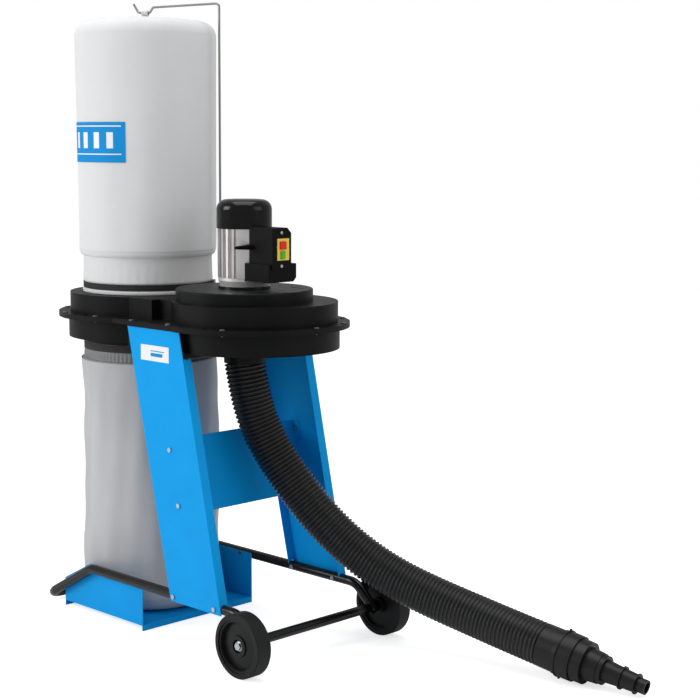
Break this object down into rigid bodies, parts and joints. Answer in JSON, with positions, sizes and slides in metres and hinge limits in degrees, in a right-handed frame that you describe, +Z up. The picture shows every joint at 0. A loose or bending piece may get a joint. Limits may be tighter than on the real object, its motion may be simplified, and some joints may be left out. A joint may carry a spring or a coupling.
{
  "type": "dust collector",
  "caption": "Wheeled dust collector: fan and cyclone housing on sheet-metal legs, filter bag above, waste bag below, motor with switch, tube frame with handle and a suction hose.",
  "frame": {"origin": "on the floor, under the middle of the machine without its hose", "axes": "+Z up, +X from the bag side towards the wheels and the hose, +Y to the hidden side of the machine"},
  "size_m": [1.648, 0.6095, 1.6181],
  "materials": {
    "black_plastic": "moulded satin",
    "gloss_black": "glossy",
    "blue_steel": "powder coat",
    "black_steel": "powder coat",
    "alloy": "machined",
    "bright_steel": "zinc plated",
    "iron": "bare",
    "felt": "needle felt",
    "film": "polythene film",
    "webbing": "woven",
    "tyre_rubber": "hard rubber",
    "hose_plastic": "corrugated",
    "red_plastic": "glossy",
    "green_plastic": "glossy",
    "yellow_plastic": "glossy",
    "white_label": "printed film"
  },
  "bodies": {
    "machine": {"upper_housing": "black_plastic", "bag_collar": "black_plastic", "lower_housing": "black_plastic", "drop_collar": "black_plastic", "inlet_neck": "black_plastic", "housing_screws": "bright_steel", "motor_plate": "black_plastic", "motor_bolts": "bright_steel", "motor_foot": "black_steel", "motor_bell": "alloy", "motor_shell": "alloy", "stator": "iron", "motor_end": "alloy", "lower_bearing": "bright_steel", "upper_bearing": "bright_steel", "fan_cover": "gloss_black", "switch_base": "black_plastic", "switch_box": "black_plastic", "switch_badge": "yellow_plastic", "switch_block": "black_plastic", "capacitor": "white_label", "switch_screws": "bright_steel", "strain_relief": "black_plastic", "filter_bag": "felt", "waste_bag": "film", "hanger_rod": "bright_steel", "rod_socket": "black_plastic", "bag_loop": "felt", "leg_front": "blue_steel", "leg_rear": "blue_steel", "leg_bolts": "bright_steel", "leg_label": "white_label", "cross_plate": "blue_steel", "base_tray": "blue_steel", "tray_bolts": "bright_steel", "tube_frame": "black_steel", "axle": "black_steel", "wheel_spacers": "black_plastic", "wheel_bolts": "bright_steel", "nozzle": "black_plastic", "hose_cuff": "black_plastic", "hose": "hose_plastic", "filter_strap": "webbing", "filter_buckle": "bright_steel", "waste_strap": "webbing", "waste_buckle": "bright_steel"},
    "rotor": {"motor_shaft": "bright_steel", "rotor_core": "iron", "impeller": "black_steel", "impeller_nut": "bright_steel", "cooling_fan": "black_plastic"},
    "wheel_front": {"tyre_front": "tyre_rubber", "hub_front": "black_plastic"},
    "wheel_rear": {"tyre_rear": "tyre_rubber", "hub_rear": "black_plastic"},
    "start_button": {"start_button": "green_plastic"},
    "stop_button": {"stop_button": "red_plastic"},
    "filter_toggle": {"filter_lever": "bright_steel"},
    "waste_toggle": {"waste_lever": "bright_steel"}
  },
  "joints": [
    {"name": "wheel_front_spin", "type": "hinge", "parent": "machine", "child": "wheel_front", "pos_m": [0.4035, -0.2415, 0.078], "axis": [0, 1, 0], "continuous": true},
    {"name": "wheel_rear_spin", "type": "hinge", "parent": "machine", "child": "wheel_rear", "pos_m": [0.4035, 0.2415, 0.078], "axis": [0, 1, 0], "continuous": true},
    {"name": "rotor_spin", "type": "hinge", "parent": "machine", "child": "rotor", "pos_m": [0.1435, 0, 0.95], "axis": [0, 0, 1], "continuous": true},
    {"name": "start_press", "type": "slide", "parent": "machine", "child": "start_button", "axis": [-1, 0, 0], "range_m": [0, 0.003], "stiffness_N_per_m": 300},
    {"name": "stop_press", "type": "slide", "parent": "machine", "child": "stop_button", "axis": [-1, 0, 0], "range_m": [0, 0.003], "stiffness_N_per_m": 300},
    {"name": "filter_toggle_open", "type": "hinge", "parent": "machine", "child": "filter_toggle", "pos_m": [-0.12321, 0.13146, 0.881], "axis": [0, 0, 1], "range_deg": [0, 110]},
    {"name": "waste_toggle_open", "type": "hinge", "parent": "machine", "child": "waste_toggle", "pos_m": [-0.28534, 0.17393, 0.7185], "axis": [0, 0, 1], "range_deg": [0, 110]}
  ]
}
